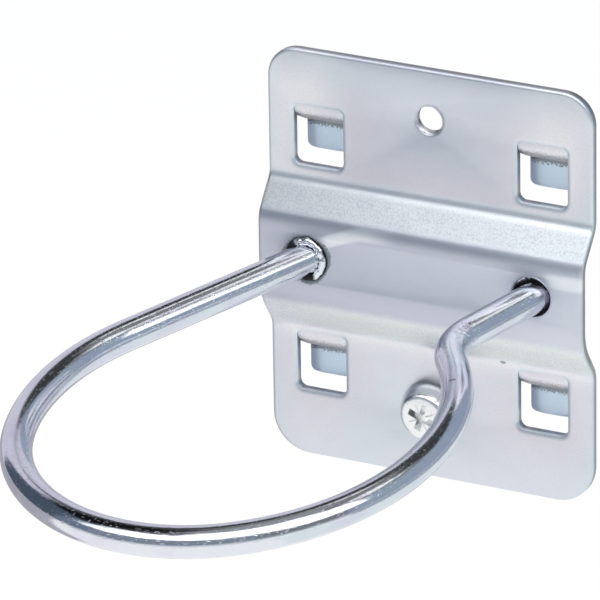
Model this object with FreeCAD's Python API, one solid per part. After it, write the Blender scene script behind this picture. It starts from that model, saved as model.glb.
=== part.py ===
# Ring holder for a square-hole perforated panel.
#
# A pressed steel base plate hangs on the panel by four hook lugs that are cut out of its own sheet and
# bent back. A round rod, bent into a nearly closed ring, passes through two holes in the plate's raised
# bead and is welded there. A pan head screw in the plate's lower hole locks it on the panel.
#
# Frame, in millimetres: the origin is the middle of the four lugs' grid, on the plate's back face,
# which lies on the panel. +X is to the right as seen from the front, +Z is up, and the ring stands
# out along -Y.
import FreeCAD, Part
import math
import os

from FreeCAD import Vector

# Sheet and outline of the base plate
SHEET = 1.5
PLATE_WIDTH = 55.0
PLATE_ABOVE_ORIGIN = 33.0
PLATE_BELOW_ORIGIN = 35.0
TOP_CORNER_RADIUS = 5.0
BOTTOM_CORNER_RADIUS = 6.2

# Raised bead across the plate, with a lower slope that is gentler than the upper one
BEAD_HEIGHT = 4.2
BEAD_UPPER_FOOT_Z = 11.1
BEAD_LOWER_FOOT_Z = -12.9
BEAD_UPPER_SLOPE_DEG = 40.0
BEAD_LOWER_SLOPE_DEG = 35.0
BEAD_UPPER_CREST_RADIUS = 5.0
BEAD_LOWER_CREST_RADIUS = 9.5
BEAD_FOOT_RADIUS = 2.6

# Windows and the hook lugs bent back out of them
PANEL_PITCH = 38.0
WINDOW_WIDTH = 8.5
WINDOW_SILL_BELOW_GRID = 5.1
WINDOW_HEIGHT = 9.9
WINDOW_CORNER_RADIUS = 1.2
WINDOW_RELIEF_RADIUS = 0.45
LUG_SIDE_CLEARANCE = 0.5
LUG_ROOT_RADIUS = 1.6
LUG_TURN_RADIUS = 0.6
LUG_THROAT = 2.3
LUG_ABOVE_SILL = 1.6
LUG_CORNER_RADIUS = 1.0

# Tapped holes on the centre line, and the locking screw in the lower one
TAPPED_HOLE_DIAMETER = 4.6
TOP_HOLE_Z = 24.9
SCREW_Z = -23.6
SCREW_CLEARANCE = 0.05
SCREW_LENGTH = 6.0
SCREW_TIP_CHAMFER = 0.6
HEAD_DIAMETER = 9.5
HEAD_HEIGHT = 3.7
HEAD_RIM_HEIGHT = 1.1
HEAD_RIM_CHAMFER = 0.4
CROWN_DIAMETER = 6.2
CROWN_DROP = 0.15
SHOULDER_DIAMETER = 7.9
SHOULDER_DROP = 0.75
SCREW_TURN_DEG = 20.0
RECESS_WIDTH = 4.9
RECESS_DEPTH = 2.0
RECESS_WING = 1.15
RECESS_TAPER = 0.72
TICK_LENGTH = 1.5
TICK_WIDTH = 0.3
TICK_DEPTH = 0.35

# Rod: the ring is an oval of three tangent arcs, which lies in one plane that droops from its roots
ROD_DIAMETER = 5.0
LEFT_HOLE_DIAMETER = 7.0
RIGHT_HOLE_DIAMETER = 6.7
RIGHT_HOLE_RISE = 0.25
ROD_END_CHAMFER = 0.4
ROOT_SPACING = 38.4
ROOT_Z = 0.1
RING_DROOP_DEG = 9.0
RING_FRONT_RADIUS = 29.5
RING_SIDE_RADIUS = 37.5
RING_FRONT_X = -10.8
RING_FRONT_REACH = 50.7
RING_LEAN_DEG = -20.5
FRONT_ARC_HALF_DEG = 50.0
RIGHT_LEG_LEAN_DEG = -22.5
RIGHT_BEND_RADIUS = 9.0
ROD_TAIL = 3.2

# Weld metal at the two roots
WELD_THROAT = 1.5
WELD_LENGTH = 1.7
WELD_LIP = 0.15
COLLAR_DIAMETER = 7.5
COLLAR_CREST_DIAMETER = 6.6
COLLAR_HEIGHT = 0.6

# Worked out from the sizes above
FRONT_Y = -SHEET
LAND_FRONT_Y = -SHEET - BEAD_HEIGHT
LAND_BACK_Y = -BEAD_HEIGHT
ROOT_Y = (LAND_FRONT_Y + LAND_BACK_Y) / 2
ROOT_XS = {"left": -ROOT_SPACING / 2, "right": ROOT_SPACING / 2}
THROUGH = 4 * (SHEET + BEAD_HEIGHT)


def unit(angle_deg):
    """Direction in a plane, turned from its second axis towards its first."""
    angle = math.radians(angle_deg)
    return Vector(math.sin(angle), math.cos(angle), 0)


def bearing(vector):
    """Angle of a direction, the inverse of unit."""
    return math.degrees(math.atan2(vector.x, vector.y))


def rounded_path(points, radii):
    """Edges along a polyline whose inner corners are rounded to the given radii."""
    edges = []
    last = points[0]
    for before, corner, after, radius in zip(points, points[1:], points[2:], radii):
        to_before = (before - corner).normalize()
        to_after = (after - corner).normalize()
        half = to_before.getAngle(to_after) / 2
        reach = radius / math.tan(half)
        middle_line = (to_before + to_after).normalize()
        start = corner + to_before * reach
        end = corner + to_after * reach
        middle = corner + middle_line * (radius / math.sin(half) - radius)
        if (start - last).Length > 1e-6:
            edges.append(Part.LineSegment(last, start).toShape())
        edges.append(Part.Arc(start, middle, end).toShape())
        last = end
    edges.append(Part.LineSegment(last, points[-1]).toShape())
    return edges


def offset_polyline(points, distance):
    """The same polyline moved to its left by a distance, with its corners mitred."""
    runs = [(b - a).normalize() for a, b in zip(points, points[1:])]
    normals = [Vector(-run.y, run.x, 0) for run in runs]
    moved = [points[0] + normals[0] * distance]
    for corner, first, second in zip(points[1:], normals, normals[1:]):
        mitre = (first + second).normalize()
        moved.append(corner + mitre * (distance / mitre.dot(first)))
    moved.append(points[-1] + normals[-1] * distance)
    return moved


def bent_strip(points, inner_radii, width):
    """Sheet bent along a polyline, as wide as given and centred on X = 0.

    The points are (depth, height) along one face, and the sheet lies to the left of that face.
    """
    near = [Vector(depth, height, 0) for depth, height in points]
    far = offset_polyline(near, SHEET)
    near_radii = []
    far_radii = []
    for before, corner, after, inner in zip(near, near[1:], near[2:], inner_radii):
        turns_left = (corner - before).cross(after - corner).z > 0
        near_radii.append(inner + SHEET if turns_left else inner)
        far_radii.append(inner if turns_left else inner + SHEET)
    outline = rounded_path(near, near_radii)
    outline.append(Part.LineSegment(near[-1], far[-1]).toShape())
    outline += rounded_path(far[::-1], far_radii[::-1])
    outline.append(Part.LineSegment(far[0], near[0]).toShape())
    section = Part.Face(Part.Wire(outline))
    depth_to_y = FreeCAD.Rotation(Vector(1, 1, 1), 120)
    section.Placement = FreeCAD.Placement(Vector(-width / 2, 0, 0), depth_to_y)
    return section.extrude(Vector(width, 0, 0))


def rounded_panel(left, right, bottom, top, bottom_radius, top_radius):
    """Prism through the plate along Y, with the outline of a rectangle with rounded corners."""
    foot = ((left + right) / 2, bottom)
    corners = [foot, (left, bottom), (left, top), (right, top), (right, bottom), foot]
    points = [Vector(x, -THROUGH, z) for x, z in corners]
    radii = [bottom_radius, top_radius, top_radius, bottom_radius]
    outline = Part.Wire(rounded_path(points, radii))
    return Part.Face(outline).extrude(Vector(0, 2 * THROUGH, 0))


def drill(diameter, x, z):
    """Round tool along Y through the whole plate."""
    return Part.makeCylinder(diameter / 2, 2 * THROUGH, Vector(x, -THROUGH, z), Vector(0, 1, 0))


def bead_line():
    """Back face of the sheet from bottom to top as (depth, height), with the bead's four bends."""
    lower_run = BEAD_HEIGHT / math.tan(math.radians(BEAD_LOWER_SLOPE_DEG))
    upper_run = BEAD_HEIGHT / math.tan(math.radians(BEAD_UPPER_SLOPE_DEG))
    lower_crest = (-BEAD_HEIGHT, BEAD_LOWER_FOOT_Z + lower_run)
    upper_crest = (-BEAD_HEIGHT, BEAD_UPPER_FOOT_Z - upper_run)
    low = [(0, -PLATE_BELOW_ORIGIN), (0, BEAD_LOWER_FOOT_Z), lower_crest]
    return low + [upper_crest, (0, BEAD_UPPER_FOOT_Z), (0, PLATE_ABOVE_ORIGIN)]


def window(x, row_z):
    """Opening that the lug leaves in the sheet, up to the line where the lug's bend begins."""
    sill = row_z - WINDOW_SILL_BELOW_GRID
    half = WINDOW_WIDTH / 2
    head = sill + WINDOW_HEIGHT
    return rounded_panel(x - half, x + half, sill, head, WINDOW_CORNER_RADIUS, WINDOW_RELIEF_RADIUS)


def lug(x, row_z):
    """Hook lug: out of the sheet at the window's head, back through the panel and down behind it."""
    sill = row_z - WINDOW_SILL_BELOW_GRID
    head = sill + WINDOW_HEIGHT
    upper_side = head - LUG_ROOT_RADIUS
    foot = sill + LUG_ABOVE_SILL
    top = head + SHEET / 2
    leg_back = LUG_THROAT + SHEET
    line = [(leg_back, foot), (leg_back, upper_side), (0, upper_side), (0, top)]
    width = WINDOW_WIDTH - 2 * LUG_SIDE_CLEARANCE
    strip = bent_strip(line, [LUG_TURN_RADIUS, LUG_ROOT_RADIUS], width)
    strip.translate(Vector(x, 0, 0))
    half = width / 2
    rounding = rounded_panel(x - half, x + half, foot, top, LUG_CORNER_RADIUS, LUG_SIDE_CLEARANCE)
    return strip.common(rounding)


def base_plate():
    """Pressed plate with its bead, windows, lugs and holes, in one solid."""
    crests = [BEAD_LOWER_CREST_RADIUS - SHEET, BEAD_UPPER_CREST_RADIUS - SHEET]
    bends = [BEAD_FOOT_RADIUS] + crests + [BEAD_FOOT_RADIUS]
    sheet = bent_strip(bead_line(), bends, PLATE_WIDTH)
    half = PLATE_WIDTH / 2
    outline = rounded_panel(
        -half, half, -PLATE_BELOW_ORIGIN, PLATE_ABOVE_ORIGIN, BOTTOM_CORNER_RADIUS, TOP_CORNER_RADIUS
    )
    plate = sheet.common(outline)
    grid = (-PANEL_PITCH / 2, PANEL_PITCH / 2)
    places = [(x, z) for x in grid for z in grid]
    tools = [window(x, z) for x, z in places]
    tools.append(drill(LEFT_HOLE_DIAMETER, ROOT_XS["left"], ROOT_Z))
    tools.append(drill(RIGHT_HOLE_DIAMETER, ROOT_XS["right"], ROOT_Z + RIGHT_HOLE_RISE))
    tools += [drill(TAPPED_HOLE_DIAMETER, 0, z) for z in (TOP_HOLE_Z, SCREW_Z)]
    plate = plate.cut(tools)
    return plate.fuse([lug(x, z) for x, z in places]).removeSplitter()


def ring_plane_point(flat):
    """Place a point of the flat layout, (X, distance from the root line), in the drooping plane."""
    droop = math.radians(RING_DROOP_DEG)
    return Vector(flat.x, ROOT_Y - flat.y * math.cos(droop), ROOT_Z - flat.y * math.sin(droop))


def ring_layout():
    """Corners, centres and bearings of the rod's centre line in the flat layout of the ring."""
    front = Vector(RING_FRONT_X, RING_FRONT_REACH, 0)
    centres = {}
    for side, sign in (("left", -1), ("right", 1)):
        joint = unit(RING_LEAN_DEG + sign * FRONT_ARC_HALF_DEG)
        centres[side] = front + joint * (RING_FRONT_RADIUS - RING_SIDE_RADIUS)
    left_root = Vector(ROOT_XS["left"], 0, 0)
    right_root = Vector(ROOT_XS["right"], 0, 0)

    # The left leg runs straight from its root until it touches the left side arc.
    to_centre = centres["left"] - left_root
    leg_bearing = bearing(to_centre) - math.degrees(math.asin(RING_SIDE_RADIUS / to_centre.Length))
    leg_length = math.sqrt(to_centre.Length ** 2 - RING_SIDE_RADIUS ** 2)
    left_touch = left_root + unit(leg_bearing) * leg_length

    # The right leg ends in a reverse bend, which touches both the leg and the right side arc.
    along = unit(RIGHT_LEG_LEAN_DEG)
    outside = Vector(along.y, -along.x, 0)
    base = right_root + outside * RIGHT_BEND_RADIUS - centres["right"]
    half_b = base.dot(along)
    gap = base.dot(base) - (RING_SIDE_RADIUS + RIGHT_BEND_RADIUS) ** 2
    leg = -half_b - math.sqrt(half_b ** 2 - gap)
    bend_centre = right_root + outside * RIGHT_BEND_RADIUS + along * leg
    right_touch = centres["right"] + (bend_centre - centres["right"]).normalize() * RING_SIDE_RADIUS
    return {
        "front": front,
        "centres": centres,
        "left_tail": left_root - unit(leg_bearing) * ROD_TAIL,
        "left_touch": left_touch,
        "right_touch": right_touch,
        "bend_centre": bend_centre,
        "right_knee": right_root + along * leg,
        "right_tail": right_root - along * ROD_TAIL,
    }


def layout_line(start, end):
    """Straight piece in the ring's plane between two points of the flat layout."""
    return Part.LineSegment(ring_plane_point(start), ring_plane_point(end)).toShape()


def layout_arc(centre, radius, start, end):
    """Arc in the ring's plane between two bearings about a centre of the flat layout."""
    places = [centre + unit(start + (end - start) * share) * radius for share in (0, 0.5, 1)]
    return Part.Arc(*[ring_plane_point(place) for place in places]).toShape()


def rod_path():
    """Centre line of the rod from the left end, round the ring, to the right end."""
    flat = ring_layout()
    left = flat["centres"]["left"]
    right = flat["centres"]["right"]
    left_joint = RING_LEAN_DEG - FRONT_ARC_HALF_DEG
    right_joint = RING_LEAN_DEG + FRONT_ARC_HALF_DEG
    bend = flat["bend_centre"]
    bend_start = bearing(flat["right_touch"] - bend)
    bend_end = bearing(flat["right_knee"] - bend)
    edges = [
        layout_line(flat["left_tail"], flat["left_touch"]),
        layout_arc(left, RING_SIDE_RADIUS, bearing(flat["left_touch"] - left), left_joint),
        layout_arc(flat["front"], RING_FRONT_RADIUS, left_joint, right_joint),
        layout_arc(right, RING_SIDE_RADIUS, right_joint, bearing(flat["right_touch"] - right)),
        layout_arc(bend, RIGHT_BEND_RADIUS, bend_start, bend_end),
        layout_line(flat["right_knee"], flat["right_tail"]),
    ]
    return Part.Wire(edges)


def ring_rod():
    """Round rod swept along its centre line, with both ends chamfered."""
    path = rod_path()
    start = path.Edges[0].valueAt(path.Edges[0].FirstParameter)
    heading = path.Edges[0].tangentAt(path.Edges[0].FirstParameter)
    section = Part.Wire(Part.makeCircle(ROD_DIAMETER / 2, start, heading))
    rod = path.makePipeShell([section], True, False)
    end_faces = [face for face in rod.Faces if isinstance(face.Surface, Part.Plane)]
    return rod.makeChamfer(ROD_END_CHAMFER, [rim for face in end_faces for rim in face.Edges])


def back_fillet(end, direction):
    """Weld metal round the leaning rod where it leaves the back of the bead."""
    root = Vector(ROOT_XS[end], ROOT_Y, ROOT_Z)
    slant_radius = ROD_DIAMETER / 2 / direction.y
    middle = root + direction * ((LAND_BACK_Y + WELD_LENGTH / 2 - ROOT_Y) / direction.y)
    drift = (direction * (WELD_LENGTH / 2 / direction.y) - Vector(0, WELD_LENGTH / 2, 0)).Length
    tip_radius = slant_radius + drift + WELD_LIP
    base = Vector(middle.x, LAND_BACK_Y, middle.z)
    return Part.makeCone(slant_radius + WELD_THROAT, tip_radius, WELD_LENGTH, base, Vector(0, 1, 0))


def weld_bead(end, rod):
    """Weld metal of one root: a fillet behind the bead, and on the left a filled hole with a collar."""
    path = rod_path()
    leg = path.Edges[0] if end == "left" else path.Edges[-1]
    direction = leg.tangentAt(leg.FirstParameter) * (-1 if end == "left" else 1)
    metal = back_fillet(end, direction)
    if end == "left":
        inward = Vector(0, 1, 0)
        front = Vector(ROOT_XS[end], LAND_FRONT_Y, ROOT_Z)
        radii = (COLLAR_DIAMETER / 2, COLLAR_CREST_DIAMETER / 2)
        filling = Part.makeCylinder(LEFT_HOLE_DIAMETER / 2, SHEET, front, inward)
        collar = Part.makeCone(*radii, COLLAR_HEIGHT, front, -inward)
        metal = metal.fuse([filling, collar])
    return metal.cut(rod).removeSplitter()


def recess_tool():
    """Cross recess with tapered wings, and the four fine ticks between them, along -Y from its floor."""
    top_y = FRONT_Y - HEAD_HEIGHT
    wings = []
    for turn in (0, 90):
        sections = []
        for share, y in ((RECESS_TAPER, top_y + RECESS_DEPTH), (1.0, top_y)):
            long = RECESS_WIDTH * share / 2
            wide = RECESS_WING * share / 2
            corners = [(-long, -wide), (long, -wide), (long, wide), (-long, wide)]
            points = [Vector(x, y, z) for x, z in corners]
            sections.append(Part.makePolygon(points + points[:1]))
        wing = Part.makeLoft(sections, True, True)
        wing.rotate(Vector(0, 0, 0), Vector(0, 1, 0), turn)
        wings.append(wing)
    for turn in (45, 135):
        length = RECESS_WING + 2 * TICK_LENGTH
        tick = Part.makeBox(length, TICK_DEPTH, TICK_WIDTH, Vector(-length / 2, top_y, -TICK_WIDTH / 2))
        tick.rotate(Vector(0, 0, 0), Vector(0, 1, 0), turn)
        wings.append(tick)
    return wings[0].fuse(wings[1:])


def locking_screw():
    """Pan head machine screw, turned about its own axis, with its head seated on the plate."""
    head = HEAD_DIAMETER / 2
    shank = TAPPED_HOLE_DIAMETER / 2 - SCREW_CLEARANCE
    top_y = FRONT_Y - HEAD_HEIGHT
    tip_y = FRONT_Y + SCREW_LENGTH
    corners = [
        (0, top_y),
        (CROWN_DIAMETER / 2, top_y + CROWN_DROP),
        (SHOULDER_DIAMETER / 2, top_y + SHOULDER_DROP),
        (head, FRONT_Y - HEAD_RIM_HEIGHT),
        (head, FRONT_Y - HEAD_RIM_CHAMFER),
        (head - HEAD_RIM_CHAMFER, FRONT_Y),
        (shank, FRONT_Y),
        (shank, tip_y - SCREW_TIP_CHAMFER),
        (shank - SCREW_TIP_CHAMFER, tip_y),
        (0, tip_y),
        (0, top_y),
    ]
    profile = Part.Face(Part.makePolygon([Vector(x, y, 0) for x, y in corners]))
    screw = profile.revolve(Vector(0, 0, 0), Vector(0, 1, 0), 360)
    screw = screw.cut(recess_tool())
    screw.rotate(Vector(0, 0, 0), Vector(0, 1, 0), SCREW_TURN_DEG)
    screw.translate(Vector(0, 0, SCREW_Z))
    return screw


def main():
    os.makedirs("parts", exist_ok=True)
    rod = ring_rod()
    pieces = {
        "base_plate": base_plate(),
        "ring_rod": rod,
        "left_weld_bead": weld_bead("left", rod),
        "right_weld_bead": weld_bead("right", rod),
        "locking_screw": locking_screw(),
    }
    for name, shape in pieces.items():
        solids = shape.Solids
        print(name, "solids:", len(solids), "valid:", shape.isValid(), "volume:", round(shape.Volume, 1))
        solids[0].exportStep("parts/" + name + ".step")


main()
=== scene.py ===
# %% [markdown]
# A ring holder for a perforated tool panel: a pressed steel plate with four hook lugs, a round rod bent
# into a ring and welded to it, and a pan head screw. Everything is bright zinc plated. The solids come
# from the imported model, already in place and in metres. Their forms are true but plain, so this lesson
# lays each piece over its solid again with what the solid leaves out: rolled edges, threads and a ragged
# weld. Then every piece gets its finish, and a studio to stand in.

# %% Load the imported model
import math

import bmesh
import bpy
import numpy as np
from mathutils import Matrix, Vector, geometry, noise


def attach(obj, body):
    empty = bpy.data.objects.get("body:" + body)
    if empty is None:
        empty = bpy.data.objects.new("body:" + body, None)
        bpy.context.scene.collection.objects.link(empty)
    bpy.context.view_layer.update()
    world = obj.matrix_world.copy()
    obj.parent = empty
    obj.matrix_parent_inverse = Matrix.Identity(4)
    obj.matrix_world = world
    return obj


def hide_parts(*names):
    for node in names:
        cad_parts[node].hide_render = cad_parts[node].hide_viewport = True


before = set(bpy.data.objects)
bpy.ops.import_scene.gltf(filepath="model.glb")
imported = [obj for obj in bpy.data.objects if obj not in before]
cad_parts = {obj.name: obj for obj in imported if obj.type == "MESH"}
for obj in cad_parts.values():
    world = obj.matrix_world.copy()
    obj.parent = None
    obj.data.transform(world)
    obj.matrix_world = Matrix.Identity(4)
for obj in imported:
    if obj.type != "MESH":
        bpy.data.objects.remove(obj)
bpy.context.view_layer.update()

MM = 0.001
print("nodes:", sorted(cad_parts))

# %% [markdown]
# The camera stands where the photographer stood, more than a metre away and with a long lens, so
# parallel lines stay nearly parallel. The viewpoint can be set by eye, or worked out from points whose
# real places are known. Here the corners of the windows and the plate's edges gave it: a direction, a
# small roll, a distance and the pixel where the origin lies.

# %% Camera
PICTURE_PX = 600
SENSOR_MM = 36
VIEW_AZIMUTH_DEG = 26.6
VIEW_ELEVATION_DEG = 23.2
VIEW_ROLL_DEG = -0.91
FOCAL_PX = 7998
PX_PER_MM = 6.48
AIM_PX = (429.92, 269.92)
AIM_POINT = Vector((0, -1.5 * MM, 0))


def toward(azimuth_deg, elevation_deg):
    """Direction from the object: azimuth 0 is in front of the plate and 90 is to its right."""
    azimuth, elevation = math.radians(azimuth_deg), math.radians(elevation_deg)
    level = math.cos(elevation)
    return Vector((math.sin(azimuth) * level, -math.cos(azimuth) * level, math.sin(elevation)))


def camera_axes():
    """Right, up and back directions of the photographer's camera."""
    azimuth = math.radians(VIEW_AZIMUTH_DEG)
    back = toward(VIEW_AZIMUTH_DEG, VIEW_ELEVATION_DEG)
    right = Vector((math.cos(azimuth), math.sin(azimuth), 0))
    roll = Matrix.Rotation(math.radians(VIEW_ROLL_DEG), 3, back)
    return roll @ right, roll @ back.cross(right), back


def make_camera():
    """Camera on the line of sight, moved sideways until the aim point lies on its pixel."""
    right, up, back = camera_axes()
    distance = FOCAL_PX / PX_PER_MM * MM
    across, down = [(pixel - PICTURE_PX / 2) / PX_PER_MM * MM for pixel in AIM_PX]
    data = bpy.data.cameras.new("camera")
    data.sensor_width = SENSOR_MM
    data.lens = FOCAL_PX / PICTURE_PX * SENSOR_MM
    camera = bpy.data.objects.new("camera", data)
    turn = Matrix((right, up, back)).transposed().to_4x4()
    place = AIM_POINT - right * across + up * down + back * distance
    camera.matrix_world = Matrix.Translation(place) @ turn
    bpy.context.scene.collection.objects.link(camera)
    bpy.context.scene.camera = camera
    return camera


camera = make_camera()
print("lens in mm:", round(camera.data.lens, 1), "place:", [round(value, 3) for value in camera.location])

# %% [markdown]
# A finish is a small program of shader nodes. Written out one node at a time it is long and hard to
# read. So a wrapper holds one output of a node, and Python's own operators add the Math nodes: a line
# such as 1 - mask * 0.3 then says what the shader does. One method makes every other kind of node.

# %% A wrapper for shader sockets
class Wire:
    """One shader output. Arithmetic on it adds Math nodes, and node() adds any other node."""

    def __init__(self, tree, socket=None):
        self.tree = tree
        self.socket = socket

    def node(self, kind, settings, inputs, output=0):
        """Add a ShaderNode of a kind, set its settings first and then its sockets, wrap one output."""
        made = self.tree.nodes.new("ShaderNode" + kind)
        for name, value in settings.items():
            setattr(made, name, value)
        for key, value in inputs.items():
            target = find_socket(made.inputs, key)
            if isinstance(value, Wire):
                self.tree.links.new(value.socket, target)
            else:
                target.default_value = value
        return Wire(self.tree, find_socket(made.outputs, output)) if len(made.outputs) else None

    def maths(self, operation, first, second):
        """Math node on two values, of which either may be a plain number."""
        return self.node("Math", {"operation": operation}, {0: first, 1: second})

    def __add__(self, other):
        return self.maths("ADD", self, other)

    def __sub__(self, other):
        return self.maths("SUBTRACT", self, other)

    def __mul__(self, other):
        return self.maths("MULTIPLY", self, other)

    def __radd__(self, other):
        return self.maths("ADD", other, self)

    def __rsub__(self, other):
        return self.maths("SUBTRACT", other, self)

    def __rmul__(self, other):
        return self.maths("MULTIPLY", other, self)


def find_socket(sockets, key):
    """A socket by its place, or by its name among those that the node's settings leave in use."""
    if isinstance(key, int):
        return sockets[key]
    return next(socket for socket in sockets if socket.enabled and socket.name == key)


print("a shader can now be written with + - and *, and with", Wire.node.__name__)

# %% [markdown]
# The same questions come back in every finish: where on the piece am I, how cloudy is it there, where
# does one tint give way to another, how far away is a mark, and how deep is the relief. Each gets a
# short helper, so that a finish reads like a recipe. Everything is counted in real millimetres, which
# keeps the grain at its true size.

# %% Places for finishes
def new_finish(name):
    """Empty node material, and a wrapper to build it with."""
    material = bpy.data.materials.new(name)
    material.use_nodes = True
    material.node_tree.nodes.clear()
    return material, Wire(material.node_tree)


def place_mm(tree):
    """Place on the piece in millimetres, in the object's own frame."""
    place = tree.node("TexCoord", {}, {}, "Object")
    return tree.node("VectorMath", {"operation": "SCALE"}, {0: place, "Scale": 1 / MM})


def kept(tree, name, output="Fac"):
    """Value that the mesh keeps on its points under a name."""
    return tree.node("Attribute", {"attribute_name": name}, {}, output)


def stretched(place, factors):
    """Place with each axis scaled by its own factor, which turns patches into streaks."""
    return place.node("VectorMath", {"operation": "MULTIPLY"}, {0: place, 1: factors})


def split(place):
    """The three coordinates of a place."""
    return [place.node("SeparateXYZ", {}, {"Vector": place}, axis) for axis in "XYZ"]


def gap_to(place, middle, factors=(1.0, 1.0, 1.0)):
    """Distance from a point, with each axis scaled by its own factor."""
    scaled = [value * factor for value, factor in zip(middle, factors)]
    ends = {0: stretched(place, factors), 1: scaled}
    return place.node("VectorMath", {"operation": "DISTANCE"}, ends, "Value")


print("helpers for places:", [helper.__name__ for helper in (place_mm, kept, stretched, split, gap_to)])

# %% Patterns, layers and relief for finishes
def clouds(place, per_mm, detail=3.0):
    """Soft noise from 0 to 1 with the given number of patches in a millimetre."""
    return place.node("TexNoise", {}, {"Vector": place, "Scale": per_mm, "Detail": detail}, "Fac")


def rise(value, start, end):
    """0 at the start, 1 at the end, smooth between them. The end may be the lower of the two."""
    settings = {"interpolation_type": "SMOOTHSTEP"}
    return value.node("MapRange", settings, {"Value": value, "From Min": start, "From Max": end})


def layered(colour, *layers):
    """Colour with others laid over it in turn, each by its share."""
    for share, shade in layers:
        below, above = [value if isinstance(value, Wire) else (*value, 1) for value in (colour, shade)]
        values = {"Factor": share, "A": below, "B": above}
        colour = share.node("Mix", {"data_type": "RGBA"}, values, "Result")
    return colour


def relief(*bumps):
    """Bumps on top of each other, each a height from 0 to 1 and its real depth in millimetres."""
    normal = {}
    for height, depth_mm in bumps:
        values = {"Height": height, "Distance": depth_mm * MM, **normal}
        normal = {"Normal": height.node("Bump", {}, values, "Normal")}
    return normal["Normal"]


def metal(colour, roughness, normal, metallic=1.0):
    """Metal surface, joined to the material's output."""
    values = {"Base Color": colour, "Metallic": metallic, "Roughness": roughness, "Normal": normal}
    surface = normal.node("BsdfPrincipled", {}, values, "BSDF")
    surface.node("OutputMaterial", {}, {"Surface": surface})


print("helpers for finishes:", [helper.__name__ for helper in (clouds, rise, layered, relief, metal)])

# %% [markdown]
# Every mesh here is worked out point by point, from the sizes that the real piece has. A few shapes come
# back: points round a circle, a grid that closes into a tube, loops for a layout, and several shells
# that make up one piece. A mesh can also keep a number on each of its points. That is how a finish
# learns where an edge, a seam or a bend lies.

# %% Helpers for meshes
SAME_POINT_MM = 1e-5


def spokes(count):
    """Evenly spaced directions of a full turn, each as its angle, cosine and sine."""
    angles = [math.tau * step / count for step in range(count)]
    return [(angle, math.cos(angle), math.sin(angle)) for angle in angles]


def circle(hole, grow=0.0, count=56):
    """Loop of points round a hole (x, z, radius), moved outwards by a distance."""
    x, z, radius = hole[0], hole[1], hole[2] + grow
    return [(x + radius * c, z + radius * s) for _, c, s in spokes(count)]


def tube_faces(rows, columns, joined=False):
    """Quads between the rows of a grid that closes into a tube, and into a ring if it is joined."""
    faces = []
    for row in range(rows if joined else rows - 1):
        start, after = row * columns, (row + 1) % rows * columns
        for column in range(columns):
            beside = (column + 1) % columns
            faces.append((start + column, start + beside, after + beside, after + column))
    return faces


def closed_tube(rows, columns):
    """Faces of a tube with both ends closed."""
    first, last = range(columns), range((rows - 1) * columns, rows * columns)
    return tube_faces(rows, columns) + [tuple(first)[::-1], tuple(last)]


def filled(loops):
    """Points and triangles that fill closed loops. A loop of two points is a line across them."""
    points, sides = [], []
    for loop in loops:
        first, count = len(points), len(loop)
        points += [Vector(point) for point in loop]
        sides += [(first + step, first + (step + 1) % count) for step in range(count if count > 2 else 1)]
    flat, _, triangles, *_ = geometry.delaunay_2d_cdt(points, sides, [], 0, SAME_POINT_MM)
    return np.array(flat), np.array(triangles)


def join_shells(shells):
    """One list each of points, faces and any further values from several shells."""
    joined = [[] for _ in shells[0]]
    for points, faces, *values in shells:
        first = len(joined[0])
        joined[0] += list(points)
        joined[1] += [tuple(corner + first for corner in face) for face in faces]
        for whole, part in zip(joined[2:], values):
            whole += part
    return joined


print("helpers for meshes:", [helper.__name__ for helper in (circle, closed_tube, filled, join_shells)])

# %% Helpers for pieces
SHARP_DEG = 32


def mesh_object(name, points, faces):
    """New object from points and faces, smooth shaded, linked to the scene."""
    data = bpy.data.meshes.new(name)
    data.from_pydata([tuple(point) for point in points], [], [tuple(face) for face in faces])
    data.validate()
    data.shade_smooth()
    piece = bpy.data.objects.new(name, data)
    bpy.context.scene.collection.objects.link(piece)
    return piece


def keep_on_points(piece, name, values):
    """Keep a number on each point of a piece, for its finish to read."""
    own = piece.data.attributes.new(name, "FLOAT", "POINT")
    own.data.foreach_set("value", np.array(values, np.float32))


def sharpen(piece):
    """Stop the smooth shading at steep edges."""
    piece.data.set_sharp_from_angle(angle=math.radians(SHARP_DEG))


def dress(piece, material, slot_name):
    """Give a piece its finish and its body. The name of its material slot is not used."""
    piece.data.materials.clear()
    piece.data.materials.append(material)
    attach(piece, "root")
    print(piece.name, "faces:", len(piece.data.polygons), "finish:", material.name)


print("helpers for pieces:", [helper.__name__ for helper in (mesh_object, keep_on_points, sharpen, dress)])

# %% [markdown]
# The plate is punched and pressed from flat sheet, and every punched edge tells so: its front is rolled
# over, where the sheet was drawn towards the die before it sheared, and its wall behind is steep and
# dark. The rolled band catches the light as a thin pale frame round each opening. A bevel would give
# every edge the same chamfer, so the sheet is laid out here from its rules instead. First come the two
# faces of the pressed sheet as curves: depth against height, with a rounded corner at each bend.

# %% Curves of the pressed sheet
SHEET_MM = 1.5
BEAD_MM = 4.2
FRONT_Y_MM = -SHEET_MM
LAND_FRONT_MM, LAND_BACK_MM = -SHEET_MM - BEAD_MM, -BEAD_MM
LOWER_FOOT_MM, UPPER_FOOT_MM = -12.9, 11.1
LOWER_SLOPE_DEG, UPPER_SLOPE_DEG = 35.0, 40.0
BEND_RADII_MM = (2.6, 9.5, 5.0, 2.6)
BEND_SIGNS = (1, -1, -1, 1)
PLATE_BOX_MM = (-27.5, 27.5, -35.0, 33.0)
ARC_POINTS = 12


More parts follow.
